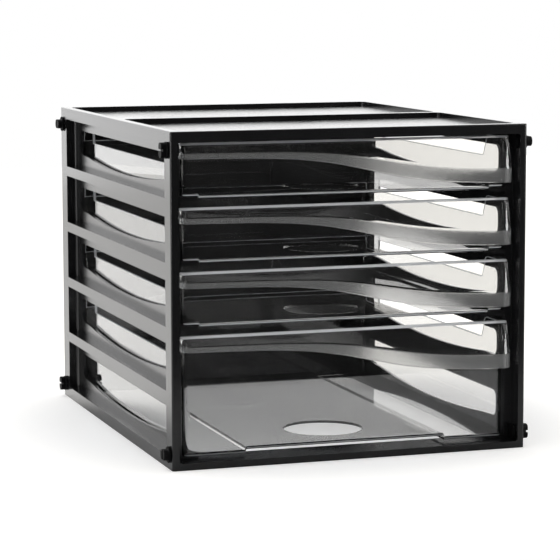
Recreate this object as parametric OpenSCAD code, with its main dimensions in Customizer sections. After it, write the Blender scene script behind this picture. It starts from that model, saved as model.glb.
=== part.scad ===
// Desktop drawer cabinet for paper, craft supplies and small parts.
// A black moulded frame of five panels holds three shallow drawers and one deep one. Each drawer is
// a clear tray with a wavy pull across its front. Eight quarter-turn pegs in the corners of the
// sides join one cabinet to the next. Units are millimetres, the front faces -Y, Z is up, and the
// origin is in the middle of the footprint.

/* [Cabinet] */
// Width over the two sides, without the pegs
cabinet_width = 285; // [275:1:300]
// Depth over the frame
cabinet_depth = 350; // [342:1:360]
// Height over the frame
cabinet_height = 253; // [248:1:268]
// Height of the band under the lowest recess of a side
base_band = 10.2; // [9:0.2:12]
// Height left over the five equal shelf spaces
crown_height = 1.8; // [1:0.2:3]
// Height of the solid band at the top of a side, with the rim plate
side_top_band = 9.5; // [9:0.1:10.5]
// Height of the solid band at the foot of a side
side_foot_band = 9.5; // [8:0.1:10.5]
// Thickness of a side over its rails
side_thickness = 11.2; // [10.2:0.2:13]
// Thickness of the sheet behind the recesses of a side
side_sheet = 2.5; // [2:0.1:3]
// Height of the rails across a side
rail_height = 8.2; // [6:0.2:9.4]
// Thickness of the front posts of a side
post_thickness = 5.5; // [5:0.1:6.2]
// Depth of the open frame in front of the recesses
post_depth = 14.6; // [13.6:0.2:15.4]
// Thickness of the upright web behind the front posts
post_web = 2; // [1.6:0.1:2.4]
// Depth of the rear posts of a side
rear_post = 20.5; // [18:0.5:24]
// Radius of the frame's outer upright edges
edge_radius = 2; // [1:0.2:3]
// Radius of the fillet at the front of a recess
recess_front_radius = 5; // [3:0.5:6.5]
// Radius of the fillet at the back of a recess
recess_rear_radius = 3; // [2:0.5:5]

/* [Side windows] */
// Distance from the front of a recess to its window
window_front_margin = 11.4; // [9:0.2:16]
// Distance from the back of a recess to its window
window_rear_margin = 15.5; // [12:0.5:20]
// Distance from the top of a recess to its window
window_top_margin = 8.9; // [7:0.1:10]
// Distance from the bottom of a recess to the lowest point of its window
window_bottom_margin = 5; // [4:0.1:6]
// Rise of the curved lower edge of a window at its ends
window_sag = 6.5; // [4:0.1:7]
// Corner radius at the front of a window
window_front_radius = 6; // [4:0.5:7]
// Corner radius at the top back of a window
window_rear_radius = 3; // [2:0.5:4]
// Corner radius at the lower back of a window
window_heel_radius = 8; // [5:0.5:8.5]

/* [Drawer runners] */
// Distance that a runner stands out from a side
runner_width = 13; // [9:0.5:16]
// Thickness of a runner
runner_thickness = 3; // [2.4:0.1:3.6]
// Gap between the runners and the back panel
runner_back_gap = 2; // [1:0.5:4]
// Height of the two runner strips on the base
strip_height = 1.4; // [1:0.1:2]

/* [Top and base] */
// Thickness of the rim plate that lies on the sides
rim_thickness = 2.2; // [1.8:0.1:2.6]
// Width of the rim round the top trays
rim_width = 7; // [6:0.2:8]
// Depth of the top trays
top_tray_depth = 4; // [3.4:0.1:4.4]
// Thickness of the floor of the top trays
top_floor = 2.4; // [2:0.1:2.8]
// Plan corner radius of the top trays
top_tray_radius = 6; // [4:0.5:9]
// Width of the rib between the two top trays
rib_width = 8; // [6:0.5:12]
// Middle of that rib, measured back from the middle of the cabinet
rib_position = -8; // [-40:1:40]
// Height of the front rail under the top
top_rail_height = 7.8; // [7.6:0.1:8.4]
// Height of the front rail at the base
base_rail_height = 5.3; // [5:0.1:5.8]
// Thickness of the front rails
rail_thickness = 2.2; // [1.8:0.1:2.6]
// Thickness of the base floor
base_floor = 2.2; // [1.8:0.1:2.6]
// Width of the base floor left in front of its opening
base_front_margin = 16.4; // [12:0.4:40]
// Width of the base floor left behind its opening
base_rear_margin = 22; // [16:1:60]
// Width of the base floor left inside the two strips
base_side_margin = 2; // [1:0.5:20]
// Corner radius of the opening in the base floor
base_opening_radius = 10; // [4:1:20]
// Radius in the corners of the front opening
opening_radius = 2.5; // [1.5:0.1:3]
// Thickness of the back panel
back_thickness = 2.5; // [2:0.1:3]
// Distance of the back panel's two ribs from the middle
back_rib_offset = 29; // [20:1:60]
// Width and depth of those ribs
back_rib_size = 3; // [2:0.2:4]

/* [Drawers] */
// Gap between a tray and the sheet of each side
tray_side_gap = 1.3; // [0.6:0.1:2]
// Wall thickness of the trays
tray_wall = 2; // [1.6:0.1:2.4]
// Thickness of the tray floors
tray_floor = 2; // [1.6:0.1:2.4]
// Gap between the back of a tray and the back edge of the cabinet
tray_back_gap = 28; // [24:1:36]
// Upright corner radius of the trays
tray_radius = 5; // [3:0.5:7]
// Radius along the lower edges of the trays
tray_edge_radius = 3; // [2.2:0.2:4]
// Height of the top edge of a drawer above the runners, less one shelf pitch for the deep drawer
front_rise = 40.6; // [40:0.1:41.4]
// Drop from the drawer's top edge to the top of its side walls
side_wall_drop = 18; // [14:0.5:21]
// Distance from the tray front to the foot of the raised front part of its side walls
shoulder_foot = 40; // [34:1:48]
// Run of the slope behind that raised part
shoulder_run = 7; // [5:0.5:12]
// Height of the small posts at the back of the side walls
stop_height = 10; // [6:0.5:12]
// Length of those posts
stop_length = 32; // [20:1:40]
// Distance from the back of a tray to those posts
stop_back_margin = 5; // [4:1:12]
// Half the width of the raised middle of the deep tray's floor
plateau_half_width = 80; // [60:1:95]
// Height of that raised middle
plateau_height = 3; // [2.4:0.1:3.4]
// Drop of the shallow trays' floors between the runners
shallow_sink = 1.5; // [1:0.1:2]
// Gap between that lowered floor and the runners
shallow_gap = 1; // [0.6:0.1:3]
// Diameter of the finger hole in the floor
thumb_hole_diameter = 62; // [50:1:66]
// Distance from the tray front to the middle of the finger hole
thumb_hole_setback = 56; // [50:1:80]

/* [Wavy pulls] */
// Distance that a pull reaches past each side of its tray
pull_overhang = 2.3; // [1.8:0.1:2.6]
// Depth of the plain top edge in front of the tray front
pull_lip = 1.4; // [1:0.1:2]
// Forward reach of the front band at its left end
pull_reach_left = 8; // [6:0.2:9]
// Forward reach of the front band at its right end
pull_reach_right = 13.6; // [10:0.2:13.8]
// Drop of the lower edge of the pull at its left end
pull_edge_drop = 11.5; // [9:0.5:13]
// Extra drop of the lower edge of the pull at its right end
pull_edge_wave = 24.5; // [18:0.5:25.5]
// Middle of the wave of the lower edge, from the middle of the cabinet
pull_edge_centre = 16; // [-20:1:40]
// Drop of the upper edge of the front band at its left end
pull_band_drop = 7; // [5.5:0.5:8]
// Extra drop of the upper edge of the front band at its right end
pull_band_wave = 17.5; // [14:0.5:19]
// Middle of the wave of the band's upper edge, from the middle of the cabinet
pull_band_centre = 30; // [0:1:50]
// Length that sets how gently both waves turn
pull_wave_length = 26; // [18:1:34]
// Plan corner radius of the front band
pull_corner_radius = 7.5; // [6:0.5:8]
// Thickness of the front band
pull_skin = 2; // [1.6:0.1:2.4]

/* [Joining pegs] */
// Diameter of the peg shanks
peg_diameter = 8; // [7:0.1:8.6]
// Diameter of the collar on the outside
collar_diameter = 12.5; // [11.8:0.1:13]
// Thickness of the collar
collar_thickness = 1.4; // [1:0.1:1.8]
// Long width of the oval head
head_length = 11.6; // [10.4:0.2:12]
// Short width of the oval head
head_width = 7.6; // [7:0.1:8.2]
// Corner radius of the oval head
head_radius = 3.2; // [2.4:0.1:3.4]
// Distance that the head reaches out of the side
peg_reach = 5.6; // [5:0.1:7]
// Width of the slit across the head
slit_width = 1.6; // [1.2:0.1:2]
// Depth of the slit across the head
slit_depth = 1.6; // [1.2:0.1:2.2]
// Diameter of the retaining flange on the inside
flange_diameter = 11; // [10:0.1:11.4]
// Thickness of the retaining flange
flange_thickness = 1.8; // [1.4:0.1:2.2]
// Distance of the pegs from the front and back edges
peg_inset = 8.5; // [8:0.1:9]
// Distance of the upper pegs from the top
peg_drop = 14; // [13.5:0.5:18]
// Height of the lower pegs
peg_height = 11.5; // [11:0.5:14]

/* [Fits] */
// Sliding clearance between separate moving pieces
clearance = 0.3; // [0.25:0.05:0.4]
// Radial clearance of a peg in its bore
peg_clearance = 0.05; // [0.03:0.01:0.08]
// Running space round the retaining flange of a peg
flange_space = 0.4; // [0.3:0.05:0.6]

/* [Hidden] */

over = 1;                    // length that a cutting shape runs past a face
tray_front_step = 0.7;       // distance of a tray front before the back edges of its pull
pull_root_overlap = 0.35;    // depth that a pull's ledge reaches into the tray front
pull_end_overlap = 0.6;      // width that a pull's ends reach over the tray front
lip_radius = 1.4;            // plan corner radius of a pull's top edge
ledge_radius = 0.2;          // plan corner radius of the inside of that edge
rim_edge_radius = 1.2;       // radius along the upper edge of the rim plate
stop_slope = 1;              // run of the slope at each end of a small post
stop_fillet = 1.5;           // radius at the foot of a small post
stop_round = 2;              // radius at the top of a small post
shoulder_fillet = 3;         // radius at the foot of the raised front of a side wall
shoulder_round = 6;          // radius at the top of that raised front
shoulder_cap = 1;            // drop from the drawer's top edge to its raised side walls
cell_count = 5;              // recesses in each side
arc_steps = 6;               // straight pieces in a small rounded corner
sag_steps = 24;              // straight pieces in the curved lower edge of a window
front_steps = 40;            // straight pieces across a pull
corner_steps = 8;            // straight pieces round a corner of a pull
round_fn = 64;               // facets of a round shape where the kernel needs them

half_width = cabinet_width / 2;
front_y = -cabinet_depth / 2;
back_y = cabinet_depth / 2;
sheet_x = half_width - side_thickness;            // inner face of a side
recess_x = sheet_x + side_sheet;                  // bottom of the recesses
opening_x = half_width - post_thickness;          // inner face of the front posts
web_y = front_y + post_depth;                     // front face of the web
recess_front_y = web_y + post_web;
recess_back_y = back_y - rear_post;
pitch = (cabinet_height - base_band - crown_height) / cell_count;
rim_z = cabinet_height - rim_thickness;           // top of the sides
top_under_z = cabinet_height - top_tray_depth - top_floor;
top_rail_z = cabinet_height - top_rail_height;
band_top_z = cabinet_height - side_top_band;
base_under_z = base_rail_height - base_floor;
back_inner_y = back_y - back_thickness;

tray_x = sheet_x - tray_side_gap;
pull_x = tray_x + pull_overhang;
pull_root_y = web_y - clearance;                  // back edge of the ends of a pull
tray_front_y = pull_root_y - tray_front_step;     // outer face of a tray front
tray_back_y = back_y - tray_back_gap;
shoulder_y = tray_front_y + shoulder_foot;
strip_top_z = base_rail_height + strip_height;

peg_y = cabinet_depth / 2 - peg_inset;
peg_top_z = cabinet_height - peg_drop;

// Height of the top of rail k, counted from the lowest band
function rail_top(k) = base_band + k * pitch;

// Underside and top edge of the drawers, with number 1 at the top
function tray_bottom(n) = n == 4 ? strip_top_z + clearance : rail_top(5 - n) + clearance;
function tray_top(n) = rail_top(5 - n) + front_rise;

// Points of a rounded corner at b, on the way from a to c
function corner(a, b, c, r) =
    let (u = (a - b) / norm(a - b), v = (c - b) / norm(c - b))
    let (half = acos(u * v) / 2)
    let (centre = b + (u + v) / norm(u + v) * r / sin(half))
    let (s = b + u * r / tan(half) - centre, e = b + v * r / tan(half) - centre)
    let (a0 = atan2(s[1], s[0]), turn = atan2(e[1], e[0]) - a0)
    let (sweep = turn > 180 ? turn - 360 : turn < -180 ? turn + 360 : turn)
    r <= 0 ? [b] : [for (i = [0:arc_steps])
        centre + r * [cos(a0 + sweep * i / arc_steps), sin(a0 + sweep * i / arc_steps)]];

// Closed outline with a radius at each corner
function rounded(points, radii) =
    let (n = len(points))
    [for (i = [0:n - 1])
        each corner(points[(i + n - 1) % n], points[i], points[(i + 1) % n], radii[i])];

// Smooth step from 0 to 1 round the given place
function wave(x, centre) = 1 / (1 + exp(-(x - centre) / pull_wave_length));

// Extrudes a YZ outline along X, from x0 to x1
module along_x(x0, x1) {
    translate([x0, 0, 0])
        rotate([90, 0, 90])
            linear_extrude(height = x1 - x0)
                children();
}

// Extrudes an XZ outline along Y, from y0 to y1
module along_y(y0, y1) {
    translate([0, y1, 0])
        rotate([90, 0, 0])
            linear_extrude(height = y1 - y0)
                children();
}

// Extrudes an XY outline along Z, from z0 to z1
module along_z(z0, z1) {
    translate([0, 0, z0])
        linear_extrude(height = z1 - z0)
            children();
}

// Box between two corners
module block(low, high) {
    translate(low)
        cube(high - low);
}

// Rectangle between two corners with the same radius in each corner
module rounded_rectangle(low, high, r) {
    polygon(rounded([low, [high[0], low[1]], high, [low[0], high[1]]], [r, r, r, r]));
}

// ---- Sides ------------------------------------------------------------------------------------

// Lower and upper limit of recess k, counted from the foot
function recess_low(k) = k == 0 ? side_foot_band : rail_top(k);
function recess_high(k) = k == cell_count - 1 ? band_top_z : rail_top(k + 1) - rail_height;

// Recess k of a side, open to the outside, with a fillet at each end of its floor
module recess(k) {
    along_z(recess_low(k), recess_high(k))
        polygon(rounded([
            [-half_width - over, recess_front_y], [-recess_x, recess_front_y],
            [-recess_x, recess_back_y], [-half_width - over, recess_back_y]],
            [0, recess_front_radius, recess_rear_radius, 0]));
}

// Window in recess k, straight along its top and curved along its lower edge
module window(k) {
    z0 = recess_low(k) + window_bottom_margin;
    z1 = recess_high(k) - window_top_margin;
    y0 = recess_front_y + window_front_margin;
    y1 = recess_back_y - window_rear_margin;
    half = (y1 - y0) / 2;
    middle = (y0 + y1) / 2;
    lower = [for (i = [1:sag_steps - 1])
        let (t = 2 * i / sag_steps - 1)
        [middle + t * half * (1 - 2 * window_heel_radius / half), z0 + window_sag * t * t]];
    corners = concat([[y0, z0 + window_sag]], lower, [[y1, z0 + window_sag], [y1, z1], [y0, z1]]);
    flat = [for (i = [1:sag_steps - 1]) 0];
    radii = concat([window_front_radius], flat,
        [window_heel_radius, window_rear_radius, window_front_radius]);
    along_x(-recess_x - over, -sheet_x + over)
        polygon(rounded(corners, radii));
}

// Runner that carries the shallow drawer above rail k
module runner(k) {
    block([-sheet_x - over, web_y, rail_top(k) - runner_thickness],
        [-sheet_x + runner_width, back_inner_y - runner_back_gap, rail_top(k)]);
}

// Bore and inner counterbore of one peg
module peg_bore(y, z) {
    translate([-half_width - over, y, z])
        rotate([0, 90, 0])
            cylinder(h = side_thickness + 2 * over, d = peg_diameter + 2 * peg_clearance,
                $fn = round_fn);
    translate([-opening_x, y, z])
        rotate([0, 90, 0])
            cylinder(h = side_thickness, d = flange_diameter + 2 * flange_space, $fn = round_fn);
}

// Left side: posts, rails and recesses outside, runners inside
module side_panel() {
    difference() {
        union() {
            difference() {
                along_z(0, rim_z)
                    polygon(rounded([
                        [-half_width, front_y], [-sheet_x, front_y],
                        [-sheet_x, back_y], [-half_width, back_y]],
                        [edge_radius, 0, 0, edge_radius]));
                for (k = [0:cell_count - 1]) {
                    recess(k);
                    window(k);
                }
                block([-opening_x, front_y - over, -over], [-sheet_x + over, web_y, rim_z + over]);
                block([-opening_x, web_y - over, top_under_z],
                    [-sheet_x + over, back_y + over, rim_z + over]);
            }
            for (k = [2:cell_count - 1])
                runner(k);
        }
        for (y = [-peg_y, peg_y])
            for (z = [peg_height, peg_top_z])
                peg_bore(y, z);
    }
}

module left_side() {
    color([0.03, 0.03, 0.035])
        side_panel();
}

module right_side() {
    color([0.03, 0.03, 0.035])
        mirror([1, 0, 0])
            side_panel();
}

// ---- Top, base and back -----------------------------------------------------------------------

// Top: a rim plate over the sides, two shallow trays, and the front rail between the posts
module top_panel() {
    tray_low = -half_width + rim_width;
    rib_front = rib_position - rib_width / 2;
    rib_back = rib_position + rib_width / 2;
    color([0.04, 0.04, 0.045])
        difference() {
            union() {
                intersection() {
                    along_z(rim_z, cabinet_height)
                        rounded_rectangle([-half_width, front_y], [half_width, back_y], edge_radius);
                    along_y(front_y - over, back_y + over)
                        polygon(rounded([
                            [-half_width, rim_z - over], [half_width, rim_z - over],
                            [half_width, cabinet_height], [-half_width, cabinet_height]],
                            [0, 0, rim_edge_radius, rim_edge_radius]));
                    along_x(-half_width - over, half_width + over)
                        polygon(rounded([
                            [front_y, rim_z - over], [back_y, rim_z - over],
                            [back_y, cabinet_height], [front_y, cabinet_height]],
                            [0, 0, rim_edge_radius, rim_edge_radius]));
                }
                block([-opening_x, front_y + rail_thickness, top_under_z], [opening_x, back_y, rim_z]);
                along_y(front_y, front_y + rail_thickness)
                    difference() {
                        polygon([
                            [-opening_x, top_rail_z - opening_radius],
                            [opening_x, top_rail_z - opening_radius],
                            [opening_x, rim_z], [-opening_x, rim_z]]);
                        polygon(rounded([
                            [-opening_x, top_rail_z - 4 * opening_radius],
                            [opening_x, top_rail_z - 4 * opening_radius],
                            [opening_x, top_rail_z], [-opening_x, top_rail_z]],
                            [0, 0, opening_radius, opening_radius]));
                    }
            }
            along_z(cabinet_height - top_tray_depth, cabinet_height + over) {
                rounded_rectangle([tray_low, front_y + rim_width], [-tray_low, rib_front],
                    top_tray_radius);
                rounded_rectangle([tray_low, rib_back], [-tray_low, back_y - rim_width],
                    top_tray_radius);
            }
        }
}

// Base: a floor on a rim, open in the middle, with two strips that carry the deep drawer
module base_panel() {
    hole_x = sheet_x - runner_width - base_side_margin;
    color([0.03, 0.03, 0.035])
        union() {
            difference() {
                block([-sheet_x, web_y, base_under_z], [sheet_x, back_y, base_rail_height]);
                along_z(base_under_z - over, base_rail_height + over)
                    rounded_rectangle([-hole_x, web_y + base_front_margin],
                        [hole_x, back_inner_y - base_rear_margin], base_opening_radius);
            }
            block([-opening_x, front_y + rail_thickness, base_under_z],
                [opening_x, web_y, base_rail_height]);
            along_y(front_y, front_y + rail_thickness)
                difference() {
                    polygon([[-opening_x, 0], [opening_x, 0],
                        [opening_x, base_rail_height + opening_radius],
                        [-opening_x, base_rail_height + opening_radius]]);
                    polygon(rounded([
                        [-opening_x, base_rail_height], [opening_x, base_rail_height],
                        [opening_x, base_rail_height + 4 * opening_radius],
                        [-opening_x, base_rail_height + 4 * opening_radius]],
                        [opening_radius, opening_radius, 0, 0]));
                }
            block([-sheet_x, back_y - rail_thickness, 0], [sheet_x, back_y, base_under_z]);
            for (s = [-1, 1]) {
                translate([s * (sheet_x - runner_width / 2) - runner_width / 2, web_y, base_rail_height])
                    cube([runner_width, back_inner_y - runner_back_gap - web_y, strip_height]);
                translate([s * (sheet_x - rail_thickness / 2) - rail_thickness / 2, web_y, 0])
                    cube([rail_thickness, back_y - web_y, base_under_z]);
            }
        }
}

// Back: a plain sheet with two upright ribs on its inside
module back_panel() {
    color([0.03, 0.03, 0.035])
        union() {
            block([-sheet_x, back_inner_y, base_rail_height], [sheet_x, back_y, top_under_z]);
            for (s = [-1, 1])
                translate([s * back_rib_offset - back_rib_size / 2, back_inner_y - back_rib_size,
                    base_rail_height])
                    cube([back_rib_size, back_rib_size, top_under_z - base_rail_height]);
        }
}

// ---- Drawers ----------------------------------------------------------------------------------

// Rise of the middle of a tray's floor over its sides, and the half width of its foot
function floor_step(n) = n == 4 ? plateau_height : -shallow_sink;
function floor_foot(n) = n == 4 ? plateau_half_width + plateau_height / 2
    : sheet_x - runner_width - shallow_gap;

// Cross-section of tray n from side to side, with the step to the middle of its floor
module tray_section(n, x, z, top, edge) {
    foot = floor_foot(n);
    step = floor_step(n);
    inner = foot - abs(step) / 2;
    polygon(rounded([
        [-x, z], [-foot, z], [-inner, z + step], [inner, z + step], [foot, z], [x, z],
        [x, top], [-x, top]],
        [edge, 0, 0, 0, 0, edge, 0, 0]));
}

// Solid shape of tray n, shrunk by a wall for its hollow
module tray_solid(n, z1, inset, rise) {
    z = tray_bottom(n) + rise;
    low = z + min(floor_step(n), 0);
    x = tray_x - inset;
    y0 = tray_front_y + inset;
    y1 = tray_back_y - inset;
    edge = tray_edge_radius - inset;
    intersection() {
        along_y(y0, y1)
            tray_section(n, x, z, z1, edge);
        along_x(-x, x)
            polygon(rounded([[y0, low], [y1, low], [y1, z1], [y0, z1]], [edge, edge, 0, 0]));
        along_z(low - over, z1 + over)
            rounded_rectangle([-x, y0], [x, y1], tray_radius - inset);
    }
}

// Space above the side and rear walls of a tray, which leaves the raised front and the small posts
module tray_relief(top) {
    wall_z = top - side_wall_drop;
    stop_y1 = tray_back_y - stop_back_margin;
    stop_y0 = stop_y1 - stop_length;
    shoulder_z = top - shoulder_cap;
    along_x(-tray_x - over, tray_x + over)
        polygon(rounded([
            [shoulder_y, wall_z], [stop_y0, wall_z], [stop_y0 + stop_slope, wall_z + stop_height],
            [stop_y1 - stop_slope, wall_z + stop_height], [stop_y1, wall_z],
            [tray_back_y + over, wall_z],
            [tray_back_y + over, top + over], [tray_front_y + tray_wall, top + over],
            [tray_front_y + tray_wall, shoulder_z], [shoulder_y - shoulder_run, shoulder_z]],
            [shoulder_fillet, stop_fillet, stop_round, stop_round, stop_fillet, 0, 0, 0, 0,
                shoulder_round]));
}

// Forward reach of the front band at a place across the drawer
function band_y(x) =
    let (share = (x + pull_x) / (2 * pull_x))
    tray_front_y - pull_reach_left - (pull_reach_right - pull_reach_left) * share;

// Plan outline of one level of a pull: out of the left root, round the corner, across, and back
function pull_outline(x, r, y_left, y_right, follow) =
    concat(
        [[-x, pull_root_y]],
        [for (i = [0:corner_steps])
            let (a = 180 + 90 * i / corner_steps)
            [-x + r + r * cos(a), y_left + r + r * sin(a)]],
        [for (i = [1:front_steps - 1])
            let (t = i / front_steps, px = (-x + r) * (1 - t) + (x - r) * t)
            [px, follow ? y_left + (y_right - y_left) * t : y_left]],
        [for (i = [0:corner_steps])
            let (a = 270 + 90 * i / corner_steps)
            [x - r + r * cos(a), y_right + r + r * sin(a)]],
        [[x, pull_root_y]]);

// Wavy pull: a ledge at the top edge, a face that leans forward, and an upright band along its foot
module pull(top) {
    x = pull_x;
    r = pull_corner_radius;
    end_skin = pull_overhang + pull_end_overlap;
    yl = band_y(-x);
    yr = band_y(x);
    lip_y = tray_front_y - pull_lip;
    root_y = tray_front_y + pull_root_overlap;
    outer_top = pull_outline(x, lip_radius, lip_y, lip_y, false);
    outer_band = pull_outline(x, r, yl, yr, true);
    inner_band = pull_outline(x - end_skin, r - end_skin, yl + pull_skin, yr + pull_skin, true);
    inner_top = pull_outline(x - end_skin, ledge_radius, root_y, root_y, false);
    n = len(outer_band);
    edge = [for (p = outer_band) top - pull_edge_drop - pull_edge_wave * wave(p[0], pull_edge_centre)];
    crest = [for (p = outer_band) top - pull_band_drop - pull_band_wave * wave(p[0], pull_band_centre)];
    rings = [for (i = [0:n - 1]) each [
        [outer_top[i][0], outer_top[i][1], top],
        [outer_band[i][0], outer_band[i][1], crest[i]],
        [outer_band[i][0], outer_band[i][1], edge[i]],
        [inner_band[i][0], inner_band[i][1], edge[i]],
        [inner_band[i][0], inner_band[i][1], crest[i] - pull_skin / 2],
        [inner_top[i][0], inner_top[i][1], top - pull_skin],
        [inner_top[i][0], inner_top[i][1], top]]];
    m = 7;
    skin = [for (i = [0:n - 2]) for (j = [0:m - 1])
        let (a = i * m + j, b = i * m + (j + 1) % m)
        each [[a, b + m, b], [a, a + m, b + m]]];
    cap = [[5, 6, 0], [1, 5, 0], [4, 5, 1], [2, 4, 1], [3, 4, 2]];
    far_cap = [for (t = cap) [for (j = [2:-1:0]) t[j] + (n - 1) * m]];
    polyhedron(points = rings, faces = concat(skin, cap, far_cap), convexity = 6);
}

// One drawer: a clear tray with its pull, counted from the top
module drawer(n) {
    z0 = tray_bottom(n) + floor_step(n);
    z1 = tray_top(n);
    union() {
        difference() {
            tray_solid(n, z1, 0, 0);
            tray_solid(n, z1 + over, tray_wall, tray_floor);
            tray_relief(z1);
            translate([0, tray_front_y + thumb_hole_setback, z0 - over])
                cylinder(h = tray_floor + 2 * over, d = thumb_hole_diameter, $fn = round_fn);
        }
        pull(z1);
    }
}

module drawer_1() {
    color([0.86, 0.88, 0.9])
        drawer(1);
}

module drawer_2() {
    color([0.86, 0.88, 0.9])
        drawer(2);
}

module drawer_3() {
    color([0.86, 0.88, 0.9])
        drawer(3);
}

module drawer_4() {
    color([0.86, 0.88, 0.9])
        drawer(4);
}

// ---- Joining pegs -----------------------------------------------------------------------------

// Quarter-turn peg of the left side at the given place, with its oval head turned by an angle
module peg(y, z, turn) {
    translate([-half_width, y, z])
        rotate([0, -90, 0])
            rotate([0, 0, turn])
                difference() {
                    union() {
                        translate([0, 0, -post_thickness - clearance - flange_thickness])
                            cylinder(h = flange_thickness, d = flange_diameter, $fn = round_fn);
                        translate([0, 0, -post_thickness - clearance])
                            cylinder(h = post_thickness + 2 * clearance, d = peg_diameter, $fn = round_fn);
                        translate([0, 0, clearance])
                            cylinder(h = collar_thickness, d = collar_diameter, $fn = round_fn);
                        along_z(clearance, peg_reach)
                            rounded_rectangle([-head_length / 2, -head_width / 2],
                                [head_length / 2, head_width / 2], head_radius);
                    }
                    translate([-slit_width / 2, -head_width, peg_reach - slit_depth])
                        cube([slit_width, 2 * head_width, slit_depth + over]);
                }
}

module peg_left_front_top() {
    color([0.02, 0.02, 0.022])
        peg(-peg_y, peg_top_z, 0);
}

module peg_left_front_bottom() {
    color([0.02, 0.02, 0.022])
        peg(-peg_y, peg_height, 90);
}

module peg_left_back_top() {
    color([0.02, 0.02, 0.022])
        peg(peg_y, peg_top_z, 90);
}

module peg_left_back_bottom() {
    color([0.02, 0.02, 0.022])
        peg(peg_y, peg_height, 0);
}

module peg_right_front_top() {
    color([0.02, 0.02, 0.022])
        mirror([1, 0, 0])
            peg(-peg_y, peg_top_z, 90);
}

module peg_right_front_bottom() {
    color([0.02, 0.02, 0.022])
        mirror([1, 0, 0])
            peg(-peg_y, peg_height, 0);
}

module peg_right_back_top() {
    color([0.02, 0.02, 0.022])
        mirror([1, 0, 0])
            peg(peg_y, peg_top_z, 0);
}

module peg_right_back_bottom() {
    color([0.02, 0.02, 0.022])
        mirror([1, 0, 0])
            peg(peg_y, peg_height, 90);
}

left_side();
right_side();
top_panel();
base_panel();
back_panel();
drawer_1();
drawer_2();
drawer_3();
drawer_4();
peg_left_front_top();
peg_left_front_bottom();
peg_left_back_top();
peg_left_back_bottom();
peg_right_front_top();
peg_right_front_bottom();
peg_right_back_top();
peg_right_back_bottom();
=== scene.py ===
import math

import bmesh
import bpy
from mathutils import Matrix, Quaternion, Vector


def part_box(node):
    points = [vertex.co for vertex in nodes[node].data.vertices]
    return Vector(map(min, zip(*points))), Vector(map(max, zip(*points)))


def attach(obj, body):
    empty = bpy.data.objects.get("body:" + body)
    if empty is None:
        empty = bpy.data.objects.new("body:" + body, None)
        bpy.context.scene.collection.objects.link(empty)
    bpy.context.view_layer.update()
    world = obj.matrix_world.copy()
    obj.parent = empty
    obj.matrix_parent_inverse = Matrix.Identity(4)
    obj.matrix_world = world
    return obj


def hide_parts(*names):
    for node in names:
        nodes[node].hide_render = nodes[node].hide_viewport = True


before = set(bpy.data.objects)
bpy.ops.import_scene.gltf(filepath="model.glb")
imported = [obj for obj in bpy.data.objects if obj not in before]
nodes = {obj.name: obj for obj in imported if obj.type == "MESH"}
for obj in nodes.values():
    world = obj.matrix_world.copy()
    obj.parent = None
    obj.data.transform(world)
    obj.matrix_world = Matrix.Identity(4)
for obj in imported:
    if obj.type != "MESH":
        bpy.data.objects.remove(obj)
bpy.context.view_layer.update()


# ---- Frame panels -----------------------------------------------------------------------------
# Two sides, a top, a base and a back, each one moulding of black polystyrene. The mould was
# polished and lightly blasted, so the skin has a satin gloss, faint flow marks and soft edges.


class Shade:
    """One output of a node. Arithmetic on it adds Math nodes."""

    def __init__(self, finish, socket):
        self.finish = finish
        self.socket = socket

    def math(self, operation, other):
        return self.finish.node("Math", {"operation": operation}, {0: self, 1: other})

    def __add__(self, other):
        return self.math("ADD", other)

    __radd__ = __add__

    def __mul__(self, other):
        return self.math("MULTIPLY", other)

    __rmul__ = __mul__


class Finish:
    """The node tree of a material or of the world, filled one node at a time."""

    def __init__(self, owner):
        self.owner = owner
        owner.use_nodes = True
        owner.node_tree.nodes.clear()

    def node(self, kind, settings=None, inputs=None, output=0):
        node = self.owner.node_tree.nodes.new("ShaderNode" + kind)
        for name, value in (settings or {}).items():
            if name == "stops":
                for element, (place, tone) in zip(node.color_ramp.elements, value):
                    element.position = place
                    element.color = (tone, tone, tone, 1)
            else:
                setattr(node, name, value)
        for name, value in (inputs or {}).items():
            if isinstance(value, Shade):
                self.owner.node_tree.links.new(value.socket, node.inputs[name])
            else:
                node.inputs[name].default_value = value
        return Shade(self, node.outputs[output]) if node.outputs else None


FIRST_COLOUR, SECOND_COLOUR, MIXED_COLOUR = 6, 7, 2  # the Mix node's sockets for colours
grain_scale = 2400
grain_depth = 0.000008
grain_in_gloss = 0.06
flow_stretch = (26, 4, 26)
flow_depth = 0.0002
flow_in_gloss = 0.1
dark_streak = (0.7, 0.7, 0.75)
pale_streak = (1.3, 1.3, 1.4)
black_plastic_ior = 1.5


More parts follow.
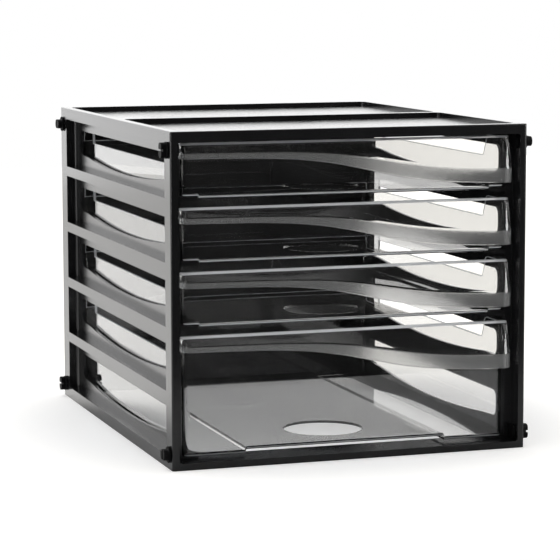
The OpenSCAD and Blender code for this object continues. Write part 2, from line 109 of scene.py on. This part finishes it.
def black_plastic(name, tone, roughness, gloss):
    """Satin black moulded plastic: a fine blasted grain, and faint flow marks from front to back."""
    finish = Finish(bpy.data.materials.new(name))
    place = finish.node("TexCoord", output="Object")
    along = finish.node("Mapping", None, {"Vector": place, "Scale": flow_stretch})
    grain = finish.node("TexNoise", None, {"Vector": place, "Scale": grain_scale, "Detail": 2})
    flow = finish.node("TexNoise", None, {"Vector": along, "Scale": 1, "Detail": 2})
    waves = finish.node("Bump", None, {"Strength": 1, "Distance": flow_depth, "Height": flow})
    skin = finish.node("Bump", None, {
        "Strength": 1, "Distance": grain_depth, "Height": grain, "Normal": waves})
    darkest = (*(tone * share for share in dark_streak), 1)
    palest = (*(tone * share for share in pale_streak), 1)
    colour = finish.node("Mix", {"data_type": "RGBA"}, {
        "Factor": flow, FIRST_COLOUR: darkest, SECOND_COLOUR: palest}, output=MIXED_COLOUR)
    smoothest = roughness - (grain_in_gloss + flow_in_gloss) / 2
    body = finish.node("BsdfPrincipled", None, {
        "Base Color": colour,
        "Roughness": flow * flow_in_gloss + grain * grain_in_gloss + smoothest,
        "IOR": black_plastic_ior,
        "Specular IOR Level": gloss,
        "Normal": skin})
    finish.node("OutputMaterial", None, {"Surface": body})
    return finish.owner


def dress(node, material):
    """Gives a CAD node its material."""
    node.data.materials.clear()
    node.data.materials.append(material)


weld_reach = 0.00002
flat_within = 0.5


def soften(node, width, segments, sharp_from):
    """Rounds the edges of a moulding that turn by more than an angle, and shades its flats flat."""
    weld = node.modifiers.new("weld", "WELD")
    weld.merge_threshold = weld_reach
    flats = node.modifiers.new("flats", "DECIMATE")
    flats.decimate_type = "DISSOLVE"
    flats.angle_limit = math.radians(flat_within)
    bevel = node.modifiers.new("edges", "BEVEL")
    bevel.width = width
    bevel.segments = segments
    bevel.limit_method = "ANGLE"
    bevel.angle_limit = math.radians(sharp_from)
    bevel.use_clamp_overlap = True
    node.modifiers.new("flow", "WEIGHTED_NORMAL").keep_sharp = False


frame_edge = 0.0007
frame_edge_segments = 2
frame_edge_from = 35
frame_black = black_plastic("frame_black", tone=0.01, roughness=0.2, gloss=0.5)
for name in ("left_side", "right_side", "top_panel", "base_panel", "back_panel"):
    dress(nodes[name], frame_black)
    soften(nodes[name], frame_edge, frame_edge_segments, frame_edge_from)


# ---- Drawers ----------------------------------------------------------------------------------
# Each drawer is one clear polystyrene moulding: a thin tray with a finger hole, and a hollow wavy
# pull along its front. The deep tray's floor is raised in the middle, and the shallow ones hang a
# little between their runners. The front band of each pull was blasted in the mould.

wall = 0.002
floor_thickness = 0.002
pull_overhang = 0.0023
pull_reach_right = 0.0136
pull_reach_left = 0.008
tray_radius = 0.005
foot_radius = 0.003
rim_radius = 0.0006
side_wall_drop = 0.018
shoulder_foot = 0.040
shoulder_run = 0.007
shoulder_cap = 0.001
stop_height = 0.010
stop_length = 0.032
stop_margin = 0.005
stop_slope = 0.001
side_rim_turns = (0.005, 0.003, 0.0015, 0.002, 0.002, 0.0015)
side_rim_steps = 5
# A floor's middle: half the width of its flat, the run of the slope beside it, and its rise
deep_floor = (0.080, 0.0015, 0.003)
shallow_floor = (0.11655, 0.00075, -0.0015)
hole_radius = 0.031
hole_setback = 0.056
hole_edge = 0.0004
hole_steps = 96
arc_steps = 8
foot_steps = 4
# The third finish is a painted highlight: a whitish, mostly opaque skin on rims, lips and feet that
# stands in for the bright lines light makes along clear edges
CLEAR, FROSTED, PAINTED_HIGHLIGHT = 0, 1, 2


def eased(points, radii, steps):
    """An open line with each inner corner turned into a short curve."""
    line = [points[0]]
    for before, corner, after, radius in zip(points, points[1:], points[2:], radii):
        start = corner + (before - corner) * min(0.5, radius / (before - corner).length)
        end = corner + (after - corner) * min(0.5, radius / (after - corner).length)
        for i in range(steps + 1):
            t = i / steps
            line.append(start.lerp(corner, t).lerp(corner.lerp(end, t), t))
    return line + [points[-1]]


def side_rim(front, back, top):
    """Height of a tray's side walls: raised at the front, and with a small post at the back."""
    foot = front + shoulder_foot
    low = top - side_wall_drop
    high = top - shoulder_cap
    post_end = back - stop_margin
    post = post_end - stop_length
    corners = [
        (front + tray_radius, high), (foot - shoulder_run, high), (foot, low), (post, low),
        (post + stop_slope, low + stop_height), (post_end - stop_slope, low + stop_height),
        (post_end, low), (back - tray_radius / 2, low)]
    return eased([Vector(c) for c in corners], side_rim_turns, side_rim_steps)


def tray_stations(half, front, back, top, middle):
    """Places round a tray's outside, each with its outward direction and the wall's height."""
    flat, slope, _ = middle
    across = [-flat - slope, -flat, 0, flat, flat + slope]
    rim = side_rim(front, back, top)
    high, low = rim[0].y, rim[-1].y
    stations = []

    def corner(x, y, start, height):
        for i in range(arc_steps + 1):
            angle = math.radians(start + 90 * i / arc_steps)
            out = Vector((math.cos(angle), math.sin(angle)))
            stations.append((Vector((x, y)) + out * tray_radius, out, height))

    left, right = -half + tray_radius, half - tray_radius
    near, far = front + tray_radius, back - tray_radius
    corner(left, near, 180, high)
    stations.extend((Vector((x, front)), Vector((0, -1)), high) for x in across)
    corner(right, near, 270, high)
    stations.extend((Vector((half, p.x)), Vector((1, 0)), p.y) for p in rim if near < p.x < far)
    corner(right, far, 0, low)
    stations.extend((Vector((x, back)), Vector((0, 1)), low) for x in reversed(across))
    corner(left, far, 90, low)
    stations.extend((Vector((-half, p.x)), Vector((-1, 0)), p.y)
                    for p in reversed(rim) if near < p.x < far)
    return stations


def lift(x, middle):
    """Rise of a tray's floor towards its middle, at a place across the tray."""
    flat, slope, rise = middle
    return rise * min(1, max(0, (flat + slope - abs(x)) / slope))


def wall_profile(foot, height):
    """One upright cut through a tray wall, from the floor's underside over the rim to its top.
    Each point is the distance inward and the height."""
    turns = [math.radians(90 * i / foot_steps) for i in range(foot_steps + 1)]
    outer = foot_radius
    inner = foot_radius - wall
    points = [(outer * (1 - math.sin(a)), foot + outer * (1 - math.cos(a))) for a in turns]
    points += [(rim_radius * (1 - math.cos(a)), height - rim_radius * (1 - math.sin(a)))
               for a in turns[::2]]
    points += [(wall - rim_radius * (1 - math.sin(a)), height - rim_radius * (1 - math.cos(a)))
               for a in turns[::2]]
    ground = foot + floor_thickness
    points += [(wall + inner * (1 - math.cos(a)), ground + inner * (1 - math.sin(a)))
               for a in turns]
    return points


def add_floor(mesh, ring, hole, middle, centre_up):
    """Fills a tray's floor from its rounded edge to the rim of the finger hole."""
    flat, slope, _ = middle
    edges = [-1, -flat - slope, -flat, 0, flat, flat + slope, 1]
    tiny = 0.00001
    half_way = len(hole) // 2
    for low, high in zip(edges, edges[1:]):
        loop = [v for v in ring if low - tiny < v.co.x < high + tiny]
        if high == 0:
            at = max(i for i, v in enumerate(loop) if abs(v.co.x) < tiny and v.co.y < 0) + 1
            loop[at:at] = [hole[0], *reversed(hole[half_way:])]
        if low == 0:
            loop += list(reversed(hole[:half_way + 1]))
        mesh.faces.new(loop if centre_up else list(reversed(loop))).material_index = CLEAR


def tray_mesh(half, front, back, bottom, top, middle):
    """A tray as one closed skin. Its bottom is the underside of the floor's two sides."""
    mesh = bmesh.new()
    stations = tray_stations(half, front, back, top, middle)
    columns = []
    for place, out, height in stations:
        foot = bottom + (lift(place.x, middle) if out.x == 0 else 0)
        columns.append([mesh.verts.new((place.x - out.x * inset, place.y - out.y * inset, z))
                        for inset, z in wall_profile(foot, height)])
    # The rim all round, and one strip of the rounded foot along the front, carry a painted
    # highlight: a whitish, mostly opaque skin that shows as bright lines
    rim_points = 2 * (foot_steps // 2 + 1)
    rim_faces = range(foot_steps + 1, foot_steps + rim_points)
    painted_highlight_foot_face = 2
    for left, right, (_, out, _) in zip(columns, columns[1:] + columns[:1], stations):
        at_front = out.y < -0.5
        for j in range(len(left) - 1):
            face = mesh.faces.new([left[j], right[j], right[j + 1], left[j + 1]])
            gets_painted_highlight = j in rim_faces or (j == painted_highlight_foot_face and at_front)
            face.material_index = PAINTED_HIGHLIGHT if gets_painted_highlight else CLEAR
    hole_y = front + hole_setback
    under = bottom + lift(0, middle)
    over = under + floor_thickness
    turns = [2 * math.pi * i / hole_steps - math.pi / 2 for i in range(hole_steps)]
    rings = []
    for radius, z in ((hole_radius + hole_edge, under), (hole_radius, under + hole_edge),
                      (hole_radius, over - hole_edge), (hole_radius + hole_edge, over)):
        rings.append([mesh.verts.new((radius * math.cos(a), hole_y + radius * math.sin(a), z))
                      for a in turns])
    for lower, upper in zip(rings, rings[1:]):
        for i in range(hole_steps):
            j = (i + 1) % hole_steps
            mesh.faces.new([lower[j], lower[i], upper[i], upper[j]]).material_index = CLEAR
    add_floor(mesh, [c[0] for c in columns], rings[0], middle, False)
    add_floor(mesh, [c[-1] for c in columns], rings[-1], middle, True)
    return mesh


edge_drop = 0.0115
edge_wave = 0.0245
edge_centre = 0.016
crest_drop = 0.007
crest_wave = 0.0175
crest_centre = 0.030
wave_length = 0.026
pull_corner = 0.0075
pull_skin = 0.002
pull_lip = 0.0014
lip_corner = 0.0014
lip_bead = 0.0017
end_overlap = 0.0006
root_gap = 0.0007
flange_reach = 0.0023
flange_corner = 0.0002
neck_reach = 0.00035
front_steps = 120
corner_steps = 14
# Rounding of a pull's cut: lip, bead, crest, foot, inner foot, inner crest, neck and flange
pull_turns = (0.0014, 0.0001, 0.0012, 0.00095, 0.00095, 0.001, 0.0003, 0.0004, 0.0004)
ease_steps = 3


def wave(x, centre):
    """Smooth step from 0 to 1 round the given place."""
    return 1 / (1 + math.exp((centre - x) / wave_length))


def pull_outline(half, radius, y_left, y_right, root):
    """Plan line of one level of a pull, from its left root round the front to its right root."""
    line = [Vector((-half, root))]
    for i in range(corner_steps + 1):
        angle = math.radians(180 + 90 * i / corner_steps)
        line.append(Vector((-half + radius * (1 + math.cos(angle)),
                            y_left + radius * (1 + math.sin(angle)))))
    start, end = Vector((-half + radius, y_left)), Vector((half - radius, y_right))
    line += [start.lerp(end, i / front_steps) for i in range(1, front_steps)]
    for i in range(corner_steps + 1):
        angle = math.radians(270 + 90 * i / corner_steps)
        line.append(Vector((half - radius * (1 - math.cos(angle)),
                            y_right + radius * (1 + math.sin(angle)))))
    return line + [Vector((half, root))]


def pull_mesh(half, tray_front, top):
    """A pull as one closed skin: a flange on the tray, a leaning face, and the band at its foot."""
    mesh = bmesh.new()
    root = tray_front + root_gap
    flange = tray_front + flange_reach
    neck = tray_front + neck_reach
    lip = tray_front - pull_lip
    left, right = tray_front - pull_reach_left, tray_front - pull_reach_right
    skin_end = pull_overhang + end_overlap
    inside = half - skin_end
    lines = zip(
        pull_outline(half, lip_corner, lip, lip, root),
        pull_outline(half, pull_corner, left, right, root),
        pull_outline(inside, pull_corner - skin_end, left + pull_skin, right + pull_skin, root),
        pull_outline(inside, flange_corner, neck, neck, root),
        pull_outline(inside, flange_corner, flange, flange, flange))
    rings = []
    for lip_at, band_at, inner_at, neck_at, flange_at in lines:
        drop = crest_drop + crest_wave * wave(band_at.x, crest_centre)
        edge = top - edge_drop - edge_wave * wave(band_at.x, edge_centre)
        reach = lip_at.y - band_at.y
        slant = math.hypot(reach, drop)
        neck_at.y = min(neck_at.y, lip_at.y + pull_skin * drop / (slant + reach))
        inner_crest = top - drop - pull_skin * reach / (slant + drop)
        bead_at = lip_at.lerp(band_at, lip_bead / drop)
        loop = [p.to_3d() for p in (lip_at, bead_at, band_at, band_at, inner_at, inner_at, neck_at,
                                    flange_at, flange_at)]
        heights = [top, top - lip_bead, top - drop, edge, edge, inner_crest, top - pull_skin,
                   top - pull_skin, top]
        for point, z in zip(loop, heights):
            point.z = z
        line = eased([loop[-1], *loop, loop[0]], pull_turns, ease_steps)[1:-1]
        rings.append([mesh.verts.new(p) for p in line])
    # Faces are counted round the cut, from the lip over the band and its foot to the flange
    size = len(rings[0])
    per_corner = ease_steps + 1
    lip_faces = [size - 1, *range(2 * per_corner - 2)]
    band_faces = range(3 * per_corner - 2, 4 * per_corner - 2)
    foot_faces = range(4 * per_corner - 2, 4 * per_corner)
    # The lip and the band's foot get the painted highlight skin, and the band gets the frosted
    # finish
    finish_at = {j: PAINTED_HIGHLIGHT for j in (*lip_faces, *foot_faces)}
    finish_at.update({j: FROSTED for j in band_faces})
    for near, far in zip(rings, rings[1:]):
        for j in range(size):
            k = (j + 1) % size
            face = mesh.faces.new([near[j], near[k], far[k], far[j]])
            face.material_index = finish_at.get(j, CLEAR)
    mesh.faces.new(list(reversed(rings[0])))
    mesh.faces.new(rings[-1])
    return mesh


def as_object(name, mesh, materials):
    """Turns a finished bmesh into a smoothly shaded object."""
    bmesh.ops.recalc_face_normals(mesh, faces=mesh.faces)
    for face in mesh.faces:
        face.smooth = True
    data = bpy.data.meshes.new(name)
    mesh.to_mesh(data)
    mesh.free()
    for material in materials:
        data.materials.append(material)
    piece = bpy.data.objects.new(name, data)
    bpy.context.scene.collection.objects.link(piece)
    return piece


def passing_light(finish, body, tint):
    """Lets the lamps through a clear or frosted body, which would throw a black shadow otherwise."""
    through = finish.node("BsdfTransparent", None, {"Color": tint})
    shadow = finish.node("LightPath", output="Is Shadow Ray")
    mixed = finish.node("MixShader", None, {"Fac": shadow, 1: body, 2: through})
    finish.node("OutputMaterial", None, {"Surface": mixed})


clear_flow_scale = 9
clear_flow_depth = 0.0001
dust_scale = 700
dust_stops = [(0.7, 0), (0.82, 1)]
clear_ior = 1.57
clear_shadow = (0.93, 0.94, 0.95, 1)


def clear_plastic(name, tint, roughness, haze, clarity):
    """Clear moulded plastic with faint flow lines and a little dust that dulls it in specks."""
    finish = Finish(bpy.data.materials.new(name))
    place = finish.node("TexCoord", output="Object")
    flow = finish.node("TexNoise", None, {"Vector": place, "Scale": clear_flow_scale, "Detail": 1})
    dust = finish.node("TexNoise", None, {"Vector": place, "Scale": dust_scale, "Detail": 3})
    specks = finish.node("ValToRGB", {"stops": dust_stops}, {"Fac": dust})
    waves = finish.node("Bump", None, {
        "Strength": 1, "Distance": clear_flow_depth, "Height": flow})
    body = finish.node("BsdfPrincipled", None, {
        "Base Color": tint,
        "Roughness": specks * haze + roughness,
        "IOR": clear_ior,
        "Transmission Weight": clarity,
        "Normal": waves})
    passing_light(finish, body, clear_shadow)
    return finish.owner


frost_scale = 1800
frost_depth = 0.00001
frost_tint = (0.93, 0.93, 0.92, 1)
frost_clarity = 0.86
frost_ior = 1.5
frost_shadow = (0.7, 0.7, 0.7, 1)
smoothest_frost = 0.2
frost_in_gloss = 0.1


def frosted_plastic(name):
    """The same plastic where the mould was blasted: a fine even grain that blurs what is behind."""
    finish = Finish(bpy.data.materials.new(name))
    place = finish.node("TexCoord", output="Object")
    grain = finish.node("TexNoise", None, {"Vector": place, "Scale": frost_scale, "Detail": 2})
    blasted = finish.node("Bump", None, {"Strength": 1, "Distance": frost_depth, "Height": grain})
    body = finish.node("BsdfPrincipled", None, {
        "Base Color": frost_tint,
        "Roughness": grain * frost_in_gloss + smoothest_frost,
        "IOR": frost_ior,
        "Transmission Weight": frost_clarity,
        "Normal": blasted})
    passing_light(finish, body, frost_shadow)
    return finish.owner


crisp_from = 32
# In the order of CLEAR, FROSTED and the edges' painted highlight, a whitish and mostly opaque
# plastic
drawer_finishes = [
    clear_plastic("drawer_clear", (0.995, 0.993, 0.987, 1), roughness=0, haze=0.06, clarity=1),
    frosted_plastic("drawer_frosted"),
    # Painted highlight: a near-white plastic that lets little light through, so rims, lips and feet
    # render as bright lines
    clear_plastic("drawer_painted_highlight", (0.95, 0.96, 0.985, 1), roughness=0.1, haze=0.1, clarity=0.3)]

for number in (1, 2, 3, 4):
    node = f"drawer_{number}"
    low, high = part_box(node)
    half = high.x
    front = low.y + pull_reach_right
    middle = deep_floor if number == 4 else shallow_floor
    bottom = low.z - min(0, lift(0, middle))
    tray_skin = tray_mesh(half - pull_overhang, front, high.y, bottom, high.z, middle)
    tray = as_object(f"{node}_tray", tray_skin, drawer_finishes)
    pull = as_object(f"{node}_pull", pull_mesh(half, front, high.z), drawer_finishes)
    join = tray.modifiers.new("join", "BOOLEAN")
    join.operation = "UNION"
    join.solver = "EXACT"
    join.object = pull
    merged = bpy.data.meshes.new_from_object(
        tray.evaluated_get(bpy.context.evaluated_depsgraph_get()))
    tray.modifiers.clear()
    tray.data = merged
    bpy.data.objects.remove(pull)
    merged.set_sharp_from_angle(angle=math.radians(crisp_from))
    flats = tray.modifiers.new("flats", "WEIGHTED_NORMAL")
    flats.keep_sharp = True
    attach(tray, f"{node}_body")
    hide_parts(node)


# ---- Joining pegs -----------------------------------------------------------------------------
# Eight quarter-turn pegs of black plastic, pressed into the corners of the sides. A coin in the
# slit turns one by a quarter, so that its oval head locks in the next cabinet.

peg_edge = 0.0016
peg_edge_segments = 3
peg_edge_from = 60
peg_black = black_plastic("peg_black", tone=0.006, roughness=0.5, gloss=0.05)
for name, node in nodes.items():
    if name.startswith("peg_"):
        dress(node, peg_black)
        soften(node, peg_edge, peg_edge_segments, peg_edge_from)


# ---- Studio -----------------------------------------------------------------------------------
# A pale floor, a large soft lamp overhead, and three that only shine in reflections: one behind,
# one at the right front and a narrow one at the left. The white surroundings are dim in front, so
# that the black plastic keeps its depth.


def lamp(name, place, aim, width, height, level, lights):
    """A soft rectangular lamp of the given brightness. The camera never sees it, and unless it
    lights, it only shows in reflections."""
    data = bpy.data.lights.new(name, "AREA")
    data.shape = "RECTANGLE"
    data.size = width
    data.size_y = height
    data.energy = level * math.pi * width * height
    light = bpy.data.objects.new(name, data)
    light.location = place
    light.rotation_mode = "QUATERNION"
    light.rotation_quaternion = (Vector(aim) - Vector(place)).to_track_quat("-Z", "Y")
    light.visible_camera = False
    light.visible_transmission = False
    light.visible_diffuse = lights
    bpy.context.scene.collection.objects.link(light)


cabinet_heart = (0, 0, 0.12)
lamp("overhead", (-0.2, 0.35, 1.8), cabinet_heart, width=1.8, height=1.5, level=1.8, lights=True)
lamp("back_wall", (0.3, 1.7, 0.75), (0, 0, 0.5), width=4.2, height=1.45, level=0.9, lights=False)
lamp("right_front", (1.35, -1.05, 0.8), cabinet_heart, width=0.9, height=1.3, level=9,
     lights=False)
lamp("left_strip", (-1.5, -0.6, 0.4), cabinet_heart, width=0.25, height=0.8, level=8,
     lights=False)


def smooth_step(finish, value, low, high):
    """Goes from 0 to 1 while a value goes from low to high."""
    return finish.node("MapRange", {"interpolation_type": "SMOOTHSTEP"}, {
        "Value": value, "From Min": low, "From Max": high, "To Min": 0, "To Max": 1})


def ray_is(finish, kind):
    """1 for the camera's, refracted or mirrored rays, as asked, and 0 for all others."""
    if kind != "mirrored":
        return finish.node("LightPath", output=f"Is {kind} Ray")
    mirrors = finish.node("LightPath", output="Glossy Depth")
    return finish.node("Math", {"operation": "MINIMUM"}, {0: mirrors, 1: 1})


warm_white = (1, 0.985, 0.95, 1)
paper_white = (0.8, 0.8, 0.8, 1)
near_glow = 0.4
distant_glow = 1.35
mirror_glow = 0.82
shadow_reach = (0.16, 0.38)
mirror_reach = (0.16, 0.22)
behind_front = (-0.15, 0.15)

floor_finish = Finish(bpy.data.materials.new("floor_white"))
paper = floor_finish.node("BsdfDiffuse", None, {"Color": paper_white})
place = floor_finish.node("NewGeometry", output="Position")
away = floor_finish.node("VectorMath", {"operation": "LENGTH"}, {0: place}, output="Value")
depth = floor_finish.node("SeparateXYZ", None, {"Vector": place}, output="Y")
glow = floor_finish.node("Emission", None, {"Strength": near_glow})
close = floor_finish.node("AddShader", None, {0: paper, 1: glow})
distant = floor_finish.node("Emission", None, {"Color": warm_white, "Strength": distant_glow})
past_shadow = smooth_step(floor_finish, away, *shadow_reach)
lit = floor_finish.node("MixShader", None, {"Fac": past_shadow, 1: close, 2: distant})
white_glow = floor_finish.node("Emission", None, {"Color": warm_white, "Strength": mirror_glow})
bright_paper = floor_finish.node("AddShader", None, {0: paper, 1: white_glow})
at_back = smooth_step(floor_finish, depth, *behind_front)
beside = smooth_step(floor_finish, away, *mirror_reach)
mirror = floor_finish.node("MixShader", None, {"Fac": at_back * beside, 1: paper, 2: bright_paper})
looked_at = ray_is(floor_finish, "Camera") + ray_is(floor_finish, "Transmission")
shown = floor_finish.node("MixShader", None, {"Fac": looked_at, 1: paper, 2: lit})
shown = floor_finish.node("MixShader", None, {
    "Fac": ray_is(floor_finish, "mirrored"), 1: shown, 2: mirror})
floor_finish.node("OutputMaterial", None, {"Surface": shown})

floor_front, floor_back, floor_half = -0.5, 2.6, 2.4
floor_drop = 0.0002
floor_mesh = bmesh.new()
corners = [(-floor_half, floor_front), (floor_half, floor_front), (floor_half, floor_back),
           (-floor_half, floor_back)]
floor_mesh.faces.new([floor_mesh.verts.new((x, y, -floor_drop)) for x, y in corners])
floor = as_object("floor", floor_mesh, [floor_finish.owner])

plain_white = (1, 1, 1, 1)
dim_front = 0.04
dim_range = (-0.5, 0.35)
ambient_level = 0.45

world = bpy.data.worlds.new("surroundings")
bpy.context.scene.world = world
around = Finish(world)
direction = around.node("TexCoord", output="Generated")
ahead = around.node("SeparateXYZ", None, {"Vector": direction}, output="Y")
back_share = smooth_step(around, ahead, *dim_range)
dim = around.node("Background", None, {"Color": plain_white, "Strength": dim_front})
bright = around.node("Background", None, {"Color": plain_white, "Strength": 1})
sky = around.node("Background", None, {"Color": warm_white, "Strength": distant_glow})
ambient = around.node("Background", None, {"Color": plain_white, "Strength": ambient_level})
reflected = around.node("MixShader", None, {"Fac": back_share, 1: dim, 2: bright})
light = around.node("MixShader", None, {
    "Fac": ray_is(around, "Camera"), 1: ambient, 2: bright})
light = around.node("MixShader", None, {
    "Fac": ray_is(around, "Transmission"), 1: light, 2: sky})
light = around.node("MixShader", None, {
    "Fac": ray_is(around, "mirrored"), 1: light, 2: reflected})
around.node("OutputWorld", None, {"Surface": light})


# ---- Camera -----------------------------------------------------------------------------------
# A long lens stands two metres away, to the left of the front and a little above the cabinet.

camera_place = Vector((-0.6133, -1.8475, 0.3666))
azimuth = math.radians(-18.364)
elevation = math.radians(7.317)
roll = math.radians(-0.125)
camera_data = bpy.data.cameras.new("camera")
camera_data.sensor_width = 36
camera_data.lens = 152.76
camera = bpy.data.objects.new("camera", camera_data)
aim = Vector((-math.sin(azimuth) * math.cos(elevation),
              math.cos(azimuth) * math.cos(elevation), -math.sin(elevation)))
camera.location = camera_place
camera.rotation_mode = "QUATERNION"
camera.rotation_quaternion = aim.to_track_quat("-Z", "Y") @ Quaternion((0, 0, 1), roll)
bpy.context.scene.collection.objects.link(camera)
bpy.context.scene.camera = camera
bpy.context.scene.view_settings.view_transform = "Standard"
